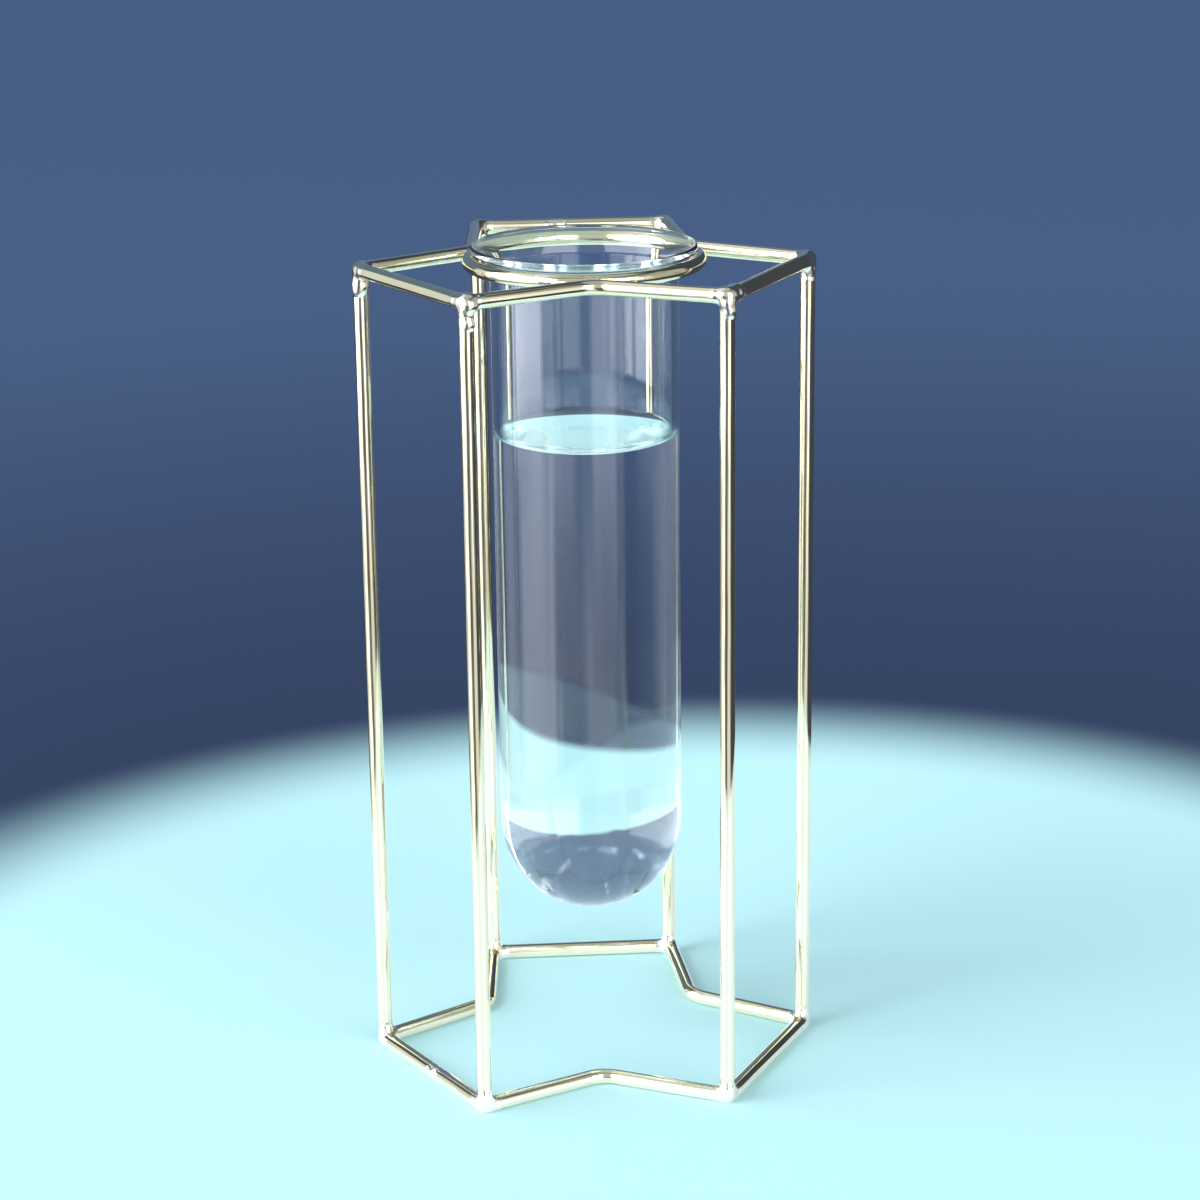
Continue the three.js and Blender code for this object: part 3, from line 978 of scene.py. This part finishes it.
# The room by azimuth and elevation in degrees: from, to and softness of each, and the light that it gives.
# Azimuth 0 is the camera's side and 90 is the right.
DAYLIGHT = (0.93, 0.97, 1.05)
WALL_LIGHT = (0.96, 0.98, 1.0)
DUSK = (0.86, 0.95, 1.0)
NAVY_LIGHT = (0.62, 0.95, 1.5)
DIM_LIGHT = (0.80, 0.93, 1.15)
ROOM = [
    ("lower part of the room", (-118, 44), 8, (-90, -8), 8, 0.38, DIM_LIGHT),
    ("wall behind on the left", (-400, -128), 8, (-4, 46), 10, 0.21, NAVY_LIGHT),
    ("wall behind on the right", (164, 400), 6, (-4, 46), 10, 0.23, NAVY_LIGHT),
    ("ceiling", (-400, 400), 1, (62, 90), 10, 0.50, DUSK),
    ("upper left", (-165, -60), 16, (50, 76), 8, 0.85, DAYLIGHT),
    ("front", (-40, 30), 6, (4, 58), 8, 0.60, WALL_LIGHT),
    ("left front", (-62, -36), 4, (-14, 54), 5, 1.7, DAYLIGHT),
    ("left back", (-128, -106), 3, (-25, 25), 5, 0.85, DUSK),
    ("left window", (-108, -60), 2, (-14, 50), 3, 5.5, DAYLIGHT),
    ("left window's foot", (-98, -48), 6, (-27, -14), 4, 1.6, DAYLIGHT),
    ("left window's near side", (-78, -32), 5, (-2, 40), 6, 4.2, DAYLIGHT),
    ("right", (34, 66), 5, (-9, 30), 8, 1.0, WALL_LIGHT),
    ("upper right", (34, 108), 5, (30, 52), 6, 0.42, WALL_LIGHT),
    ("far right", (66, 108), 6, (-9, 30), 6, 0.50, WALL_LIGHT),
    ("right front window", (4, 34), 9, (-16, 44), 10, 2.3, DAYLIGHT),
    ("right front window's bright part", (6, 52), 5, (-1, 36), 6, 4.2, DAYLIGHT),
    ("right front window's foot", (-6, 30), 6, (-30, -16), 6, 0.85, WALL_LIGHT),
    ("dark front", (-38, -12), 4, (-60, 3), 5, 0.14, WALL_LIGHT),
]

# What mirrored rays see where the room has nothing, and the wall behind the vase
UNLIT = (0.055, 0.065, 0.095)
NAVY = (0.068, 0.12, 0.245)
NAVY_DARK = (0.034, 0.054, 0.120)
NAVY_ELEVATIONS = (-20, -10)
PALE_ABOVE = (0.50, 0.66, 0.68)
PALE_ELEVATIONS = (2, 14)
FILL = (0.52, 0.55, 0.58)


def between(tree, value, limits, soft):
    """1 between the limits and 0 outside, all in degrees, with a soft edge. The value is in radians."""
    low, high = (math.radians(limit) for limit in limits)
    edge = math.radians(soft) / 2
    rises = smooth_step(tree, value, low - edge, low + edge)
    falls = smooth_step(tree, value, high - edge, high + edge, 1.0, 0.0)
    return math_node(tree, "MULTIPLY", rises, falls)


def climb(tree, elevation, limits):
    return smooth_step(tree, elevation, *(math.radians(limit) for limit in limits))


def make_world():
    """The light round the vase, by the kind of ray that meets it.

    Mirrored rays see the room. Rays that were mirrored and came through glass see it too, and it is no darker
    than pale above the horizon. Rays straight through glass and the camera's own see navy. Matt surfaces get
    an even light.
    """
    world = bpy.data.worlds.new("studio")
    bpy.context.scene.world = world
    world.use_nodes = True
    tree = world.node_tree
    tree.nodes.clear()
    ray = node(tree, "ShaderNodeTexCoord").outputs["Generated"]
    parts = node(tree, "ShaderNodeSeparateXYZ", {0: ray}).outputs
    backwards = math_node(tree, "MULTIPLY", parts["Y"], -1.0)
    azimuth = math_node(tree, "ARCTAN2", parts["X"], backwards)
    elevation = math_node(tree, "ARCSINE", parts["Z"])
    rays = node(tree, "ShaderNodeLightPath").outputs
    through_glass = rays["Is Transmission Ray"]
    behind = mix_colour(tree, climb(tree, elevation, NAVY_ELEVATIONS), NAVY_DARK, NAVY)
    colour = mix_colour(tree, through_glass, UNLIT, behind)
    for _, azimuths, side_soft, elevations, end_soft, strength, tint in ROOM:
        across = between(tree, azimuth, azimuths, side_soft)
        upright = between(tree, elevation, elevations, end_soft)
        light = tuple(strength * part for part in tint)
        colour = mix_colour(tree, math_node(tree, "MULTIPLY", across, upright), colour, light)
    bent_up = math_node(tree, "MULTIPLY", climb(tree, elevation, PALE_ELEVATIONS), through_glass)
    colour = mix_colour(tree, bent_up, colour, PALE_ABOVE, "LIGHTEN")
    unmirrored = math_node(tree, "SUBTRACT", 1.0, rays["Glossy Depth"], clamp=True)
    straight = math_node(tree, "MULTIPLY", unmirrored, through_glass)
    colour = mix_colour(tree, straight, colour, behind)
    colour = mix_colour(tree, rays["Is Diffuse Ray"], colour, FILL)
    colour = mix_colour(tree, rays["Is Camera Ray"], colour, NAVY)
    background = node(tree, "ShaderNodeBackground", {"Color": colour, "Strength": 1.0})
    output = node(tree, "ShaderNodeOutputWorld")
    tree.links.new(background.outputs[0], output.inputs["Surface"])


# The lamps: place, target and diameter in metres, and power in watts
KEY_LAMP = ("key", (-1.1, -0.5, 1.3), (0, 0, 0.05), 0.9, 11)
FILL_LAMP = ("fill", (0.9, -1.2, 1.2), (0, 0, 0.08), 1.2, 4.8)


def area_light(name, place, target, size, power):
    """A round lamp that lights matt surfaces and casts shadows, but isn't itself seen in metal or glass."""
    data = bpy.data.lights.new(name, "AREA")
    data.shape = "DISK"
    data.size = size
    data.energy = power
    lamp = bpy.data.objects.new(name, data)
    bpy.context.scene.collection.objects.link(lamp)
    lamp.location = place
    lamp.rotation_euler = (Vector(place) - Vector(target)).to_track_quat("Z", "Y").to_euler()
    lamp.visible_glossy = False
    lamp.visible_transmission = False


# Light that is caught in the glass needs many bounces to come out again
GLASS_BOUNCES = 128


def make_stage():
    make_camera()
    make_floor()
    make_world()
    area_light(*KEY_LAMP)
    area_light(*FILL_LAMP)
    scene = bpy.context.scene
    scene.view_settings.view_transform = "Standard"
    scene.cycles.max_bounces = GLASS_BOUNCES
    scene.cycles.glossy_bounces = GLASS_BOUNCES
    scene.cycles.transmission_bounces = GLASS_BOUNCES


def make_posts_and_welds(wire, weld):
    for third, (first_post, second_post, notch) in enumerate(SIDES):
        for index, place in enumerate((first_post, second_post)):
            seed = SIDE_SEED * third + POST_SEED * index
            make_post(place, seed, wire)
            top_seed = seed + TOP_WELD_SEED
            make_post_weld(place, "top", upper_level, -1, TOP_DROPS[place], top_seed, weld)
            foot_seed = seed + FOOT_WELD_SEED
            make_post_weld(place, "foot", lower_level, 1, FOOT_DROPS[place], foot_seed, weld, REST_LEVEL)
        make_ring_weld(notch, BACK + (third + 0.5) * THIRD_OF_A_TURN, NOTCH_SEED * third, weld)


def make_vase():
    wire = wire_material()
    weld = weld_material()
    upper_weld, upper_along = make_loop("top_loop", upper_level, "back_right", UPPER_BUTT_SHIFT, wire)
    lower_weld, lower_along = make_loop(
        "bottom_loop", lower_level, "left", LOWER_BUTT_SHIFT, wire, resting=True
    )
    make_ring(wire)
    make_posts_and_welds(wire, weld)

    def upper_wire_at(distance):
        return upper_weld + upper_along * distance

    def lower_wire_at(distance):
        return lower_weld + lower_along * distance

    def ring_wire_at(distance):
        return axis + UP * ring_level + direction(RING_BUTT_ANGLE + distance / ring_radius) * ring_radius

    make_butt_weld("top_loop_butt_weld", upper_wire_at, [TOP_BUTT_BEAD], weld)
    make_butt_weld("bottom_loop_butt_weld", lower_wire_at, [BOTTOM_BUTT_BEAD], weld, REST_LEVEL)
    make_butt_weld("ring_butt_weld", ring_wire_at, [], weld)
    make_tube(glass_material())
    make_water(water_material())


make_stage()
make_vase()
